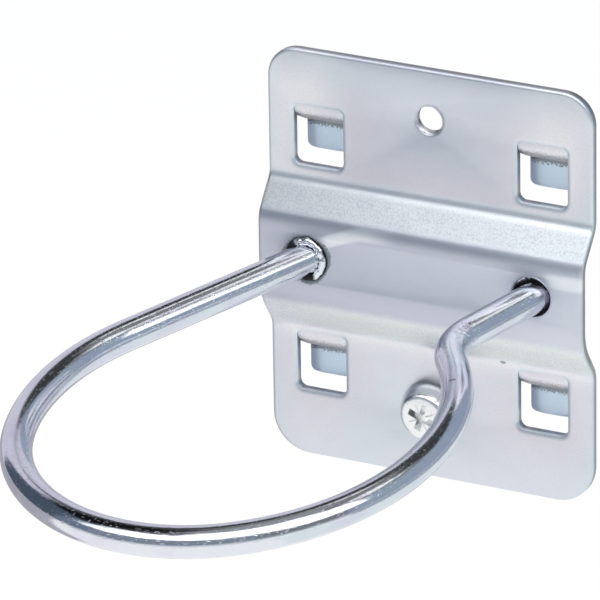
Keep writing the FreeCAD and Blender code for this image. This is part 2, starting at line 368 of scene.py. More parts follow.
def face_curve(distance):
    """Heights, depths and leans of the sheet's face that lies so far in front of its back face."""
    lower_crest = LOWER_FOOT_MM + BEAD_MM / math.tan(math.radians(LOWER_SLOPE_DEG))
    upper_crest = UPPER_FOOT_MM - BEAD_MM / math.tan(math.radians(UPPER_SLOPE_DEG))
    heights = [PLATE_BOX_MM[2], LOWER_FOOT_MM, lower_crest, upper_crest, UPPER_FOOT_MM, PLATE_BOX_MM[3]]
    depths = [0, 0, LAND_BACK_MM, LAND_BACK_MM, 0, 0]
    back = [Vector(pair) for pair in zip(heights, depths)]
    runs = [(b - a).normalized() for a, b in zip(back, back[1:])]
    fronts = [Vector((run.y, -run.x)) for run in runs]
    points = [back[0] + fronts[0] * distance]
    for number, (radius, sign) in enumerate(zip(BEND_RADII_MM, BEND_SIGNS)):
        before, after = fronts[number], fronts[number + 1]
        mitre = (before + after).normalized()
        corner = back[number + 1] + mitre * (distance / mitre.dot(before))
        own = radius + sign * (SHEET_MM - distance)
        half = runs[number].angle(runs[number + 1]) / 2
        centre = corner + mitre * sign * (own / math.cos(half))
        turns = [before.slerp(after, step / ARC_POINTS) for step in range(ARC_POINTS + 1)]
        points += [centre - turn * sign * own for turn in turns]
    points.append(back[-1] + fronts[-1] * distance)
    curve = np.array(points)
    leans = np.arctan2(np.gradient(curve[:, 1]), np.gradient(curve[:, 0]))
    return curve[:, 0], curve[:, 1], leans


front_curve = face_curve(SHEET_MM)
back_curve = face_curve(0.0)
print("front face runs from", front_curve[1].min().round(2), "to", front_curve[1].max().round(2), "mm deep")

# %% [markdown]
# Next comes the flat layout: the outline, four windows and four holes, each as a closed loop of points.
# Beside each loop run two to four more, which carry the rolled edge, and level lines run across the
# bends. A constrained triangulation joins them all into one mesh, and what lies in an opening is left
# out. Each point of the layout then moves out to the front face and to the back face.

# %% Openings of the plate
PITCH_HALF_MM = 19.0
LUG_PLACES_MM = [(x * PITCH_HALF_MM, row * PITCH_HALF_MM) for x in (-1, 1) for row in (-1, 1)]
WINDOW_MM = (8.5, 9.9)
SILL_DROP_MM = 5.1
LEFT_ROOT_MM = (-19.2, 0.1, 3.5)
RIGHT_ROOT_MM = (19.08, 0.35, 3.23)
TOP_HOLE_MM = (0.0, 24.9, 2.5)
SCREW_HOLE_MM = (0.0, -23.6, 2.5)
HOLES_MM = (LEFT_ROOT_MM, RIGHT_ROOT_MM, TOP_HOLE_MM, SCREW_HOLE_MM)


def window_box(x, row):
    """Left, right, lower and upper side of the window over a lug."""
    sill = row - SILL_DROP_MM
    return x - WINDOW_MM[0] / 2, x + WINDOW_MM[0] / 2, sill, sill + WINDOW_MM[1]


WINDOW_BOXES_MM = [window_box(*place) for place in LUG_PLACES_MM]
print("openings of the plate:", len(WINDOW_BOXES_MM), "windows and", len(HOLES_MM), "holes")

# %% Loops and edges of the layout
WINDOW_CORNERS_MM = (1.2, 0.9)
PLATE_CORNERS_MM = (6.2, 5.0)
CORNER_STEPS = 9


def rounded_box(box, radii, grow=0.0):
    """Loop of a box with rounded lower and upper corners, moved outwards by a distance."""
    left, right, bottom, top = box[0] - grow, box[1] + grow, box[2] - grow, box[3] + grow
    lower, upper = max(radii[0] + grow, 0.05), max(radii[1] + grow, 0.05)
    corners = ((left + lower, bottom + lower, lower, 180), (right - lower, bottom + lower, lower, 270))
    corners += ((right - upper, top - upper, upper, 0), (left + upper, top - upper, upper, 90))
    points = []
    for x, z, radius, start in corners:
        for step in range(CORNER_STEPS + 1):
            angle = math.radians(start + 90 * step / CORNER_STEPS)
            points.append((x + radius * math.cos(angle), z + radius * math.sin(angle)))
    return points


def outside_box(x, z, box, radii):
    """Distance outwards from a rounded box, negative inside it."""
    middle_z = (box[2] + box[3]) / 2
    radius = np.where(z < middle_z, radii[0], radii[1])
    reach_x = np.abs(x - (box[0] + box[1]) / 2) - (box[1] - box[0]) / 2 + radius
    reach_z = np.abs(z - middle_z) - (box[3] - box[2]) / 2 + radius
    outer = np.hypot(np.maximum(reach_x, 0), np.maximum(reach_z, 0))
    return outer + np.minimum(np.maximum(reach_x, reach_z), 0) - radius


def edge_gaps(x, z):
    """Distances from the outline, each window and each hole, all of them positive on the sheet."""
    gaps = [-outside_box(x, z, PLATE_BOX_MM, PLATE_CORNERS_MM)]
    gaps += [outside_box(x, z, box, WINDOW_CORNERS_MM) for box in WINDOW_BOXES_MM]
    return gaps + [np.hypot(x - hole_x, z - hole_z) - radius for hole_x, hole_z, radius in HOLES_MM]


print("nearest edge to the plate's middle in mm:", round(float(min(edge_gaps(0.0, 0.0))), 1))

# %% Layout of the sheet
OUTLINE_STEPS_MM = (0, 0.1, 0.25, 0.5)
WINDOW_STEPS_MM = (0, 0.12, 0.3, 0.6, 0.95)
HOLE_STEPS_MM = (0, 0.1, 0.35)
BEND_LINES_MM = ((-14.3, -11.3, 10), (-9.7, -4.1, 14), (4.3, 7.2, 10), (9.3, 12.6, 11))
ROLL_WINDOW = (0.95, 0.36)
WINDOW_ROLL_SHARES = (0.65, 1.0, 1.0, 0.8)
WINDOW_ROLL_MARKS_MM = (-0.3, 1.6, -1.6, -0.1)
ROLL_OUTLINE = (0.5, 0.24)
ROLL_HOLE = (0.35, 0.15)


def roll(distance, size):
    """Depth of a rolled edge at a distance from it: a parabola that fades out."""
    width, depth = size
    return depth * np.clip(1 - np.abs(distance) / width, 0, 1) ** 2


def sheet_layout():
    """Layout points, their triangles, how deep each is rolled and how near an edge it lies."""
    loops = [rounded_box(PLATE_BOX_MM, PLATE_CORNERS_MM, -step) for step in OUTLINE_STEPS_MM]
    for box in WINDOW_BOXES_MM:
        loops += [rounded_box(box, WINDOW_CORNERS_MM, step) for step in WINDOW_STEPS_MM]
    loops += [circle(hole, step) for hole in HOLES_MM for step in HOLE_STEPS_MM]
    for bend_lines in BEND_LINES_MM:
        loops += [[(side, height) for side in PLATE_BOX_MM[:2]] for height in np.linspace(*bend_lines)]
    flat, triangles = filled(loops)
    middle_x, middle_z = flat[triangles].mean(axis=1).T
    keep = np.min(edge_gaps(middle_x, middle_z), axis=0) > 0
    x, z = flat.T
    gaps = edge_gaps(x, z)
    rolls = [roll(gaps[0], ROLL_OUTLINE)] + [roll(gap, ROLL_HOLE) for gap in gaps[-len(HOLES_MM):]]
    for box, gap in zip(WINDOW_BOXES_MM, gaps[1:]):
        marks = np.repeat(box[2:], 2) + WINDOW_ROLL_MARKS_MM
        rolls.append(roll(gap, ROLL_WINDOW) * np.interp(z, marks, WINDOW_ROLL_SHARES))
    return flat, triangles[keep], np.max(rolls, axis=0), np.maximum(np.min(gaps, axis=0), 0)


layout, layout_faces, rolled, edge_gap = sheet_layout()
print("layout points:", len(layout), "triangles on each face:", len(layout_faces))

# %% [markdown]
# The walls join the two faces. Wherever a triangle side has no neighbour there is an edge of the sheet,
# so the walls find their own way round every opening. The top hole is tapped, so the points of its wall
# move in and out with a screw line. Two values stay on every point for the finish to read: the distance
# to the nearest edge, and how far down a wall it lies.

# %% Faces, thread and open sides of the sheet
THREAD_PITCH_MM = 0.8
THREAD_DEPTH_MM = 0.42


def on_face(flat, curve, sunk):
    """Place layout points on a face of the sheet, sunk into it by a depth along its own normal."""
    heights, depths, leans = curve
    depth = np.interp(flat[:, 1], heights, depths)
    lean = np.interp(flat[:, 1], heights, leans)
    return np.stack([flat[:, 0], depth + sunk * np.cos(lean), flat[:, 1] - sunk * np.sin(lean)], 1)


def thread_depth(angle, travel):
    """How far a thread's groove is cut at an angle and a distance along the axis, from 0 to 1."""
    turns = travel / THREAD_PITCH_MM - angle / math.tau
    return 1 - np.abs(2 * (turns - np.floor(turns)) - 1)


def open_sides(triangles):
    """Sides of triangles that only one triangle has, in its own direction."""
    sides = {}
    for a, b, c in triangles:
        for side in ((a, b), (b, c), (c, a)):
            sides[side] = True
    return [side for side in sides if (side[1], side[0]) not in sides]


print("open sides of the layout:", len(open_sides(layout_faces)))

# %% Walls of the sheet
WALL_STEPS = (0.0, 0.12, 0.35, 0.7, 1.0)
THREAD_STEPS = 15
ON_RIM_MM = 0.01


def wall_points(end, front, back):
    """Points down the wall from one edge point of the layout, each with how far down it lies."""
    away = layout[end] - np.array(TOP_HOLE_MM[:2])
    tapped = abs(math.hypot(*away) - TOP_HOLE_MM[2]) < ON_RIM_MM
    for step in (np.linspace(0, 1, THREAD_STEPS) if tapped else WALL_STEPS)[1:-1]:
        place = front * (1 - step) + back * step
        if tapped:
            cut = (1 - thread_depth(math.atan2(away[1], away[0]), step * SHEET_MM)) * THREAD_DEPTH_MM
            inward = away / np.linalg.norm(away) * cut
            place = place - np.array([inward[0], 0, inward[1]])
        yield place, step


def sheet_shell():
    """Points, faces, edge distances, wall depths and bends of the plate without its lugs."""
    count = len(layout)
    front = on_face(layout, front_curve, rolled)
    back = on_face(layout, back_curve, np.zeros(count))
    points = [*front, *back]
    gaps = [*edge_gap, *edge_gap]
    falls = [0.0] * count + [1.0] * count
    faces = [tuple(face) for face in layout_faces] + [tuple(face[::-1] + count) for face in layout_faces]
    sides = open_sides(layout_faces)
    walls = {}
    for end in dict.fromkeys(end for side in sides for end in side):
        walls[end] = [end]
        for place, fall in wall_points(end, front[end], back[end]):
            walls[end].append(len(points))
            points.append(place)
            gaps.append(0.0)
            falls.append(fall)
        walls[end].append(end + count)
    for start, end in sides:
        first, second = walls[start], walls[end]
        faces += [(b, a, d, c) for a, b, c, d in zip(first, second, second[1:], first[1:])]
    return points, faces, gaps, falls, [0.0] * len(points)


sheet = sheet_shell()
print("points of the sheet:", len(sheet[0]), "faces:", len(sheet[1]))

# %% [markdown]
# Each hook lug is a tongue of the sheet, cut free on three sides and bent back out of its window, then
# down. Pressing leaves its root wider than its leg, and its top a little crowned. A flat strip bent by a
# modifier would keep one width, so here a section is carried down a bent line and changes on the way. A
# third value tells the finish how far round the bends each point lies, for the painted shade under the
# root and at the top of the leg, and the painted blue shade on the hidden leg.

# %% Line of a hook lug
LUG_ABOVE_SILL_MM = 1.6
LUG_ROOT_MM = 1.6
LUG_TURN_MM = 0.6
LUG_THROAT_MM = 2.3
LEG_HEIGHTS_MM = (2.4, 1.6, 1.0, 0.7, 0.45, 0.25, 0.1, 0.03, 0.0)


def lug_line(row_mm):
    """Middle line of a lug as (y, z, front y, front z, bend), from inside the sheet down to its foot.

    The bend goes from 0 at the window's head to 1 where the lug comes out of its root's curve.
    """
    head = row_mm - SILL_DROP_MM + WINDOW_MM[1]
    foot = row_mm - SILL_DROP_MM + LUG_ABOVE_SILL_MM
    half = SHEET_MM / 2
    root, turn = LUG_ROOT_MM + half, LUG_TURN_MM + half
    leg_y = LUG_THROAT_MM + half
    centre = (leg_y - turn, head - root - turn)
    quarter = np.linspace(0, math.pi / 2, 11)
    line = [(-half, head + height, -1, 0, 0.0) for height in (0.5, 0.25)]
    for t in quarter:
        side, down = math.cos(t), math.sin(t)
        line.append((LUG_ROOT_MM - root * side, head - root * down, -side, -down, t / quarter[-1]))
    for t in quarter:
        side, down = math.sin(t), math.cos(t)
        line.append((centre[0] + turn * side, centre[1] + turn * down, -side, -down, 1 + t / quarter[-1]))
    line += [(leg_y, foot + height, -1, 0, 2.0) for height in LEG_HEIGHTS_MM]
    return line, foot


print("points along a lug:", len(lug_line(PITCH_HALF_MM)[0]))

# %% Section of a lug, and the whole plate
LUG_WIDTH_MM = 7.5
LUG_CORNER_MM = 1.0
LUG_EDGE_MM = 0.15
LUG_CROWN = (1.7, 0.2)
LUG_FLARE_MM = 0.5
LUG_FLARE_END, LUG_FLARE_FADE = 1.45, 0.4
LUG_THIN_END = 0.6
LUG_BELOW_SHEET_MM = 0.003
LUG_LOW_MM = 3.4


def lug_section(half_width, thinned):
    """Points round the lug's section as (across, towards the front, gap to the edge, fall)."""
    half, bevel = SHEET_MM / 2, LUG_EDGE_MM
    top = half - thinned
    across = np.linspace(-(half_width - bevel), half_width - bevel, 15)
    front = [(u, top - roll(half_width - abs(u), LUG_CROWN), half_width - abs(u), 0.0) for u in across]
    corner = top - roll(bevel, LUG_CROWN) - bevel
    bend = [(bevel * math.sin(t), bevel * math.cos(t)) for t in (math.radians(30), math.radians(65))]
    right = [(half_width - bevel + du, corner + dv, 0.1, 0.1) for du, dv in bend]
    right += [(half_width, v, 0.0, fall) for v, fall in ((corner, 0.2), (0.0, 0.5), (-half + bevel, 0.9))]
    back = [(u, -half, half_width - abs(u), 1.0) for u in across[::-2]]
    left = [(-u, v, gap, fall) for u, v, gap, fall in right[::-1]]
    return front + right + back + left


def lug_shell(x, row_mm):
    """Points, faces, edge distances, wall depths and bends of one hook lug."""
    line, foot = lug_line(row_mm)
    points, gaps, falls, bends = [], [], [], []
    for y, z, front_y, front_z, bend in line:
        near_foot = max(0.0, 1 - (z - foot) / LUG_CORNER_MM)
        narrowed = LUG_CORNER_MM * (1 - math.sqrt(1 - near_foot ** 2))
        at_root = np.clip((LUG_FLARE_END - bend) / LUG_FLARE_FADE, 0, 1)
        half_width = LUG_WIDTH_MM / 2 - narrowed + at_root * LUG_FLARE_MM
        thinned = ROLL_WINDOW[1] * WINDOW_ROLL_SHARES[-1] * max(0.0, 1 - bend / LUG_THIN_END) ** 2
        section = lug_section(half_width, thinned + LUG_BELOW_SHEET_MM)
        for u, v, gap, fall in section:
            points.append((x + u, y + front_y * v, z + front_z * v))
            gaps.append(gap)
            falls.append(fall)
            bends.append(1 + bend + 0.3 * (z < foot + LUG_LOW_MM))
    return points, closed_tube(len(line), len(section)), gaps, falls, bends


PLATE_VALUES = ("edge_mm", "fall", "bend")
points, faces, *values = join_shells([sheet] + [lug_shell(*place) for place in LUG_PLACES_MM])
plate = mesh_object("pressed_plate", np.array(points) * MM, faces)
for name, numbers in zip(PLATE_VALUES, values):
    keep_on_points(plate, name, numbers)
sharpen(plate)
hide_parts("base_plate")
print("points of the plate with its lugs:", len(points))

# %% [markdown]
# The plate is cold rolled sheet under a thin bluish zinc coat, satin and not mirror bright. The rinse
# after plating leaves faint clouds of cyan and lilac, and the slopes of the raised bead, where the press
# has stretched the sheet, are rougher and speckled. A picture of such metal could be laid on it, but it
# would bring its own light. Noise at three sizes does it here: clouds of centimetres, patches of
# millimetres and a fine grain. Over it lie marks, each with a mask of its own: a darker land with two
# painted highlight streaks, a painted reflection of the ring on the upper flange, the ring burnt by the
# left weld, a nick, and painted shade at the lug roots and on their hidden legs.

# %% Tints and marks of the plate
ZINC = (0.90, 0.88, 0.905)
ZINC_CYAN = (0.86, 0.88, 0.90)
ZINC_LILAC = (0.90, 0.86, 0.915)
SPECKLED_ZINC = (0.36, 0.36, 0.46)
RIM_CYAN = (0.66, 0.82, 0.88)
# Painted blue shade for the lugs' hidden legs.
LUG_SHADE_BLUE = (0.54, 0.72, 0.86)
# Painted darkening of the land and the flanges, partly a painted reflection of the ring.
DARKER_ZINC = (0.50, 0.465, 0.57)
# Painted highlight on the land.
HIGHLIGHT_ZINC = (1.0, 0.975, 1.0)
WARM_ZINC = (0.88, 0.86, 0.78)
# Dull zinc for the nick, the sheared walls and the fold, and painted shade under the lug roots and the
# screw's head.
DULL_ZINC_AND_SHADE = (0.20, 0.21, 0.22)
# Black for burns on the plate and the weld, and for painted shade in the gaps round the rod.
NEAR_BLACK = (0.012, 0.012, 0.014)
NICK_MM = (12.45, -1.6, -13.2)
LEFT_BRANCH_MM = (2.6, 3.1)
RIGHT_BRANCH_MM = 3.6


def gap_to_root(place, hole):
    """Distance from the middle of a root's hole, on the front of the land."""
    return gap_to(place, (hole[0], LAND_FRONT_MM, hole[1]))


def painted_highlights(x, z):
    """Painted highlight streaks on the land, from the left root and from the right root to the bead's
    crest.
    """
    above = z - (LEFT_BRANCH_MM[0] + rise(x, -19.5, -9.0) * LEFT_BRANCH_MM[1])
    left = rise(above * above, 1.9, 0.0) * rise(x, -17.3, -15.6) * rise(x, -3.0, -10.5)
    above = z - RIGHT_BRANCH_MM
    right = rise(above * above, 2.3, 0.0) * rise(x, 20.6, 22.8)
    return left, right


def darker_zones(x, z, land):
    """Where the coat is painted darker: the land, less so to the right; the middle of the upper flange, as
    a painted reflection of the ring; and the lower flange towards its bottom.
    """
    middle = rise(x * x, 420.0, 90.0) * rise(z, 10.0, 14.0)
    return land * (0.86 - rise(x, 6.0, 24.0) * 0.3) + middle * 0.42 + rise(z, -12.0, -17.0) * 0.34


def lug_shade(z, bend, grain):
    """Painted shade under each lug's root, and a ragged fringe of painted shade at the top of its leg."""
    above_row = z - (rise(z, -1.0, 1.0) * 2 - 1) * PITCH_HALF_MM
    fringe = rise(above_row + grain * 2.2, 1.25, 1.75) * rise(bend, 2.5, 2.9)
    return fringe + rise(bend + grain * 0.4, 1.4, 1.75) * rise(bend, 2.8, 2.4) * 0.75


print("marks on the plate:", [mark.__name__ for mark in (painted_highlights, darker_zones, lug_shade)])

# %% Finish of the plate
def plate_finish():
    material, tree = new_finish("satin_zinc_sheet")
    place = place_mm(tree)
    x, y, z = split(place)
    edge, fall, bend = [kept(tree, name) for name in PLATE_VALUES]
    wide = clouds(place, 0.06)
    patchy = clouds(place, 0.45)
    grain = clouds(place, 3.4, 6.0)
    lines = clouds(stretched(place, (0.08, 1.0, 1.0)), 2.2, 2.0)
    behind_front = rise(y, FRONT_Y_MM - 0.2, FRONT_Y_MM - 1.2)
    strain = behind_front * rise(y, LAND_FRONT_MM + 0.2, LAND_FRONT_MM + 1.2)
    flat_land = rise(y, LAND_FRONT_MM + 1.0, LAND_FRONT_MM + 0.3)
    left_branch, right_branch = painted_highlights(x, z)
    branches = left_branch + right_branch
    warm = strain * rise(z, -5.0, -9.0) * rise(wide, 0.3, 0.6)
    from_weld = gap_to_root(place, LEFT_ROOT_MM) + patchy * 1.8 + grain * 0.8
    blackened = rise(from_weld, 5.55, 5.15) * flat_land
    nick = rise(gap_to(place, NICK_MM, (0.6, 1.0, 1.0)), 0.42, 0.2)
    rim = rise(edge, 1.1, 0.3) * rise(fall, 0.5, 0.0)
    # Painted light: the sheared wall round the right root is left less dull.
    painted_light_by_root = rise(gap_to_root(place, RIGHT_ROOT_MM), 5.0, 4.5) * 0.6
    sheared = rise(fall, 0.1, 0.5) * rise(edge, 0.05, 0.0) * (0.7 - painted_light_by_root)
    colour = layered(
        ZINC,
        (rise(wide, 0.40, 0.62), ZINC_CYAN),
        (rise(patchy, 0.48, 0.70) * 0.7, ZINC_LILAC),
        (rise(grain, 0.44, 0.64) * (0.08 + strain * 0.26), SPECKLED_ZINC),
        # Painted darkening; in the middle of the upper flange it is a painted reflection of the ring.
        (darker_zones(x, z, flat_land * (1 - branches * 0.95)), DARKER_ZINC),
        # Painted highlight streaks on the land.
        (branches * (0.5 + right_branch * 0.45), HIGHLIGHT_ZINC),
        (warm * 0.6, WARM_ZINC),
        (blackened * 0.9, NEAR_BLACK),
        (nick * 0.8, DULL_ZINC_AND_SHADE),
        (rim * 0.3, RIM_CYAN),
        # Painted blue shade on the hidden legs.
        (rise(bend, 2.2, 2.9) * 0.7, LUG_SHADE_BLUE),
        # Painted shade under the lug roots and at the top of their legs.
        (lug_shade(z, bend, grain) * 0.85, DULL_ZINC_AND_SHADE),
        (sheared, DULL_ZINC_AND_SHADE),
    )
    roughness = 0.32 + patchy * 0.07 + grain * 0.09 + strain * 0.14 + blackened * 0.2
    normal = relief((wide, 0.25), (lines, 0.0025), (grain * (0.5 + strain * 0.5), 0.012))
    metal(colour, roughness, normal, 1 - blackened * 0.7)
    return material


dress(plate, plate_finish(), "plated_sheet")

# %% [markdown]
# The ring is drawn steel rod, bent cold. The solid has its true line: two straight legs, three large
# arcs and one tight reverse bend, all in one plane that droops from the roots. A curve object with a
# bevel would follow that line too, but it gives no say over the skin. Here rings of points are laid
# along the line by a formula, so that each point also knows how far along and how far round it lies.
# The drawing lines of the steel are then streaks that follow the bends, as they do on the real rod.

# %% Straight runs and arcs
STATION_STEP = 0.5 * MM


def heading(angle_deg):
    """Direction in the ring's flat layout, turned from straight ahead towards the right."""
    angle = math.radians(angle_deg)
    return Vector((math.sin(angle), math.cos(angle)))


def bearing(direction):
    """Angle of a direction, the other way round from heading."""
    return math.degrees(math.atan2(direction.x, direction.y))


def straight(start, end):
    """Points along a straight run, without its end."""
    count = max(2, round((end - start).length / STATION_STEP))
    return [start.lerp(end, step / count) for step in range(count)]


def arc(centre, radius, start_deg, end_deg):
    """Points along an arc, without its end."""
    turn_deg = end_deg - start_deg
    count = max(4, round(abs(math.radians(turn_deg)) * radius / STATION_STEP))
    return [centre + heading(start_deg + turn_deg * step / count) * radius for step in range(count)]


print("points on a quarter turn of 30 mm radius:", len(arc(Vector((0, 0)), 30 * MM, 0, 90)))

# %% Line of the rod
ROD_RADIUS = 2.5 * MM
ROOT_HALF_SPACING = 19.2 * MM
ROOT_Y = -4.95 * MM
ROOT_Z = 0.1 * MM
ROD_TAIL = 3.2 * MM
RING_DROOP = math.radians(9.0)
FRONT_RADIUS = 29.5 * MM
SIDE_RADIUS = 37.5 * MM
FRONT_CENTRE = Vector((-10.8 * MM, 50.7 * MM))
RING_LEAN_DEG = -20.5
FRONT_ARC_HALF_DEG = 50.0
RIGHT_LEG_LEAN_DEG = -22.5
RIGHT_BEND_RADIUS = 9.0 * MM


def flat_line():
    """Points along the rod's centre line, from the left end to the right one, in the flat layout."""
    left_joint = RING_LEAN_DEG - FRONT_ARC_HALF_DEG
    right_joint = RING_LEAN_DEG + FRONT_ARC_HALF_DEG
    beyond = FRONT_RADIUS - SIDE_RADIUS
    left_centre, right_centre = [FRONT_CENTRE + heading(end) * beyond for end in (left_joint, right_joint)]
    left_root, right_root = [Vector((side * ROOT_HALF_SPACING, 0)) for side in (-1, 1)]
    to_centre = left_centre - left_root
    left_leg = heading(bearing(to_centre) - math.degrees(math.asin(SIDE_RADIUS / to_centre.length)))
    left_touch = left_root + left_leg * math.sqrt(to_centre.length_squared - SIDE_RADIUS ** 2)
    right_leg = heading(RIGHT_LEG_LEAN_DEG)
    outside = Vector((right_leg.y, -right_leg.x)) * RIGHT_BEND_RADIUS
    base = right_root + outside - right_centre
    gap = base.length_squared - (SIDE_RADIUS + RIGHT_BEND_RADIUS) ** 2
    reach = -base.dot(right_leg) - math.sqrt(base.dot(right_leg) ** 2 - gap)
    bend_centre = right_root + outside + right_leg * reach
    right_touch = right_centre + (bend_centre - right_centre).normalized() * SIDE_RADIUS
    knee = right_root + right_leg * reach
    right_end = right_root - right_leg * ROD_TAIL
    points = straight(left_root - left_leg * ROD_TAIL, left_touch)
    points += arc(left_centre, SIDE_RADIUS, bearing(left_touch - left_centre), left_joint)
    points += arc(FRONT_CENTRE, FRONT_RADIUS, left_joint, right_joint)
    points += arc(right_centre, SIDE_RADIUS, right_joint, bearing(right_touch - right_centre))
    from_touch, to_knee = bearing(right_touch - bend_centre), bearing(knee - bend_centre)
    points += arc(bend_centre, RIGHT_BEND_RADIUS, from_touch, to_knee)
    return points + straight(knee, right_end) + [right_end]


flat = np.array(flat_line())
line = np.stack([
    flat[:, 0], ROOT_Y - flat[:, 1] * math.cos(RING_DROOP), ROOT_Z - flat[:, 1] * math.sin(RING_DROOP),
], 1)
along = np.concatenate([[0.0], np.cumsum(np.linalg.norm(np.diff(line, axis=0), axis=1))])
print("rod length in mm:", round(along[-1] / MM, 1), "stations:", len(line))

# %% [markdown]
# The skin is a grid: one row of points per station, wrapped round the line, and a chamfered cap at each
# end. A drawn rod isn't a perfect cylinder. Rollers and bending leave its surface uneven by hundredths
# of a millimetre, far too little to see as shape, but a mirror finish shows it in its reflections.

# %% Skin of the rod
ROUND_POINTS = 64
END_CHAMFER = 0.4 * MM
UNEVENNESS = 0.012 * MM
UNEVEN_LENGTH = 9 * MM


def rod_skin():
    """Rod with the places along and round it kept on each point, for the finish to read."""
    tangents = np.gradient(line, axis=0)
    tangents /= np.linalg.norm(tangents, axis=1)[:, None]
    upward = np.array([0, -math.sin(RING_DROOP), math.cos(RING_DROOP)])
    sideways = np.cross(tangents, upward)
    last = len(line) - 1
    insets = {0: END_CHAMFER, last: -END_CHAMFER}
    rows = [(0, True), *((station, False) for station in range(len(line))), (last, True)]
    points, wraps = [], []
    for station, is_cap in rows:
        radius = ROD_RADIUS - END_CHAMFER * is_cap
        centre = line[station] + tangents[station] * (0.0 if is_cap else insets.get(station, 0.0))
        for _, c, s in spokes(ROUND_POINTS):
            uneven = noise.noise(Vector((c, s, along[station] / UNEVEN_LENGTH))) - 1
            out = c * sideways[station] + s * upward
            points.append(centre + out * (radius + UNEVENNESS * uneven / 2))
            wraps.append((c * ROD_RADIUS / MM, s * ROD_RADIUS / MM, along[station] / MM))
    piece = mesh_object("ring_wire", points, closed_tube(len(rows), ROUND_POINTS))
    wrap = piece.data.attributes.new("rod_place", "FLOAT_VECTOR", "POINT")
    wrap.data.foreach_set("vector", np.array(wraps, np.float32).ravel())
    sharpen(piece)
    return piece


ring = rod_skin()
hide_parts("ring_rod")
print("points of the rod:", len(ring.data.vertices))

# %% [markdown]
# The rod's coat is bright zinc: almost a mirror, with a cold blue-grey tint. What makes it look like
# drawn steel and not like chrome are fine lines along the rod and small pits. The noise is squeezed ten
# times along the rod, so each patch becomes a streak, and the streaks disturb both the height and the
# roughness. The bending tool has left its marks too: fine creases inside the tight bend, and one dark
# fold below it.

# %% Finish of the rod
ROD_ZINC = (0.76, 0.79, 0.84)
ROD_LILAC = (0.74, 0.73, 0.82)
FOLD_DEG, FOLD_ALONG_MM = 104, 175.75
CREASE_DEG, CREASE_ALONG_MM = 35, 190.0


def on_rod(turn_deg, along_mm):
    """Place on the rod's skin, as the finish reads it, at a turn round it and a length along it."""
    turn = math.radians(turn_deg)
    radius = ROD_RADIUS / MM
    return radius * math.cos(turn), radius * math.sin(turn), along_mm


def rod_finish():
    material, tree = new_finish("bright_zinc_rod")
    place = kept(tree, "rod_place", "Vector")
    streaks = clouds(stretched(place, (1.0, 1.0, 0.07)), 1.6, 4.0)
    fine = clouds(stretched(place, (1.0, 1.0, 0.12)), 6.0, 3.0)
    pits = rise(clouds(stretched(place, (1.0, 1.0, 0.6)), 3.2, 2.0), 0.60, 0.72)
    soft = clouds(place, 0.12)
    roughness = 0.10 + rise(streaks, 0.4, 0.75) * 0.07 + fine * 0.03
    fold = rise(gap_to(place, on_rod(FOLD_DEG, FOLD_ALONG_MM), (1.0, 1.0, 2.6)), 0.75, 0.45)
    colour = layered(ROD_ZINC, (rise(soft, 0.42, 0.62), ROD_LILAC), (fold * 0.85, DULL_ZINC_AND_SHADE))
    creases = clouds(place, 1.6, 2.0) * rise(gap_to(place, on_rod(CREASE_DEG, CREASE_ALONG_MM)), 4.2, 2.0)
    metal(colour, roughness, relief((streaks, 0.012), (creases, 0.14), (fine, 0.006), (pits, 0.014)))
    return material


dress(ring, rod_finish(), "plated_rod")

# %% [markdown]
# The left root was welded from the front, and its weld shows: a silvery rope of metal round the rod,
# with burnt black seams on both sides of it. The right root was welded from behind, so only a dark gap
# is seen there. In each gap a black disc and the black front of the rope behind the plate are painted
# shade. A ring like this could be a torus with displacement. Laid out by a formula, it can also
# remember where its seams are, and the finish turns those black.

# %% Ropes and beds of weld metal
WELD_SIDES = 96
WELD_ROUND = 20
BED_RINGS = 8
BED_RADIUS_MM = 3.3
BED_RELIEF_MM, BED_LUMPS = 0.12, 1.5
ROPE_WANDER = ((0.22, 1.3, 0), (0.16, 3.4, 9))
ROPE_RIPPLES = ((0.34, 2.1, 5), (0.24, 5.5, 0))
FRONT_ROPE = (2.96, 0.64, LAND_FRONT_MM - 0.10, 0.95)
BACK_ROPE = (3.35, 0.8, LAND_BACK_MM + 0.25, 1.2)
FRONT_BURNS = ((-80, 27, 1.1), (142, 30, 1.0))
# Painted light: less painted shade on the back rope's front at the upper left.
BACK_PAINTED_LIGHT = ((125, 38, 1.0),)


def ring_noise(angle, waves, seed):
    """Smooth noise round a closed ring, the sum of waves given by their height, fineness and seed."""
    c, s = math.cos(angle), math.sin(angle)
    return sum(high * noise.noise(Vector((c * fine, s * fine, seed + own))) for high, fine, own in waves)


def char_at(angle, burns):
    """How strong a round of burns is at an angle, each given by its middle, half width and depth."""
    turns = [(math.degrees(angle) - middle + 180) % 360 - 180 for middle, _, _ in burns]
    return max(depth * math.exp(-(turn / wide) ** 2) for turn, (_, wide, depth) in zip(turns, burns))


def weld_rope(centre, rope, seed):
    """Uneven ring of weld metal with ripples across it. Its value is how black each point is: charred seams
    on the front rope, painted shade on the front of a back rope.
    """
    ring_radius, thick, depth, tall = rope
    points, soot_and_shade = [], []
    for angle, c, s in spokes(WELD_SIDES):
        radius = ring_radius + ring_noise(angle, ROPE_WANDER, seed)
        swell = thick * (1 + ring_noise(angle, ROPE_RIPPLES, seed))
        for _, outward, forward in spokes(WELD_ROUND):
            out = radius + swell * outward
            points.append((centre[0] + out * c, depth - swell * tall * forward, centre[1] + out * s))
            seam = 1 - max(0.0, forward)
            if rope is FRONT_ROPE:
                soot_and_shade.append(max(seam, char_at(angle, FRONT_BURNS)))
            else:
                # Painted shade: the back rope's front, seen through the gap, is black.
                front = min(1.0, max(0.0, forward + 0.6))
                soot_and_shade.append(1.2 * front - char_at(angle, BACK_PAINTED_LIGHT) * (1 - seam))
    return points, tube_faces(WELD_SIDES, WELD_ROUND, True), soot_and_shade


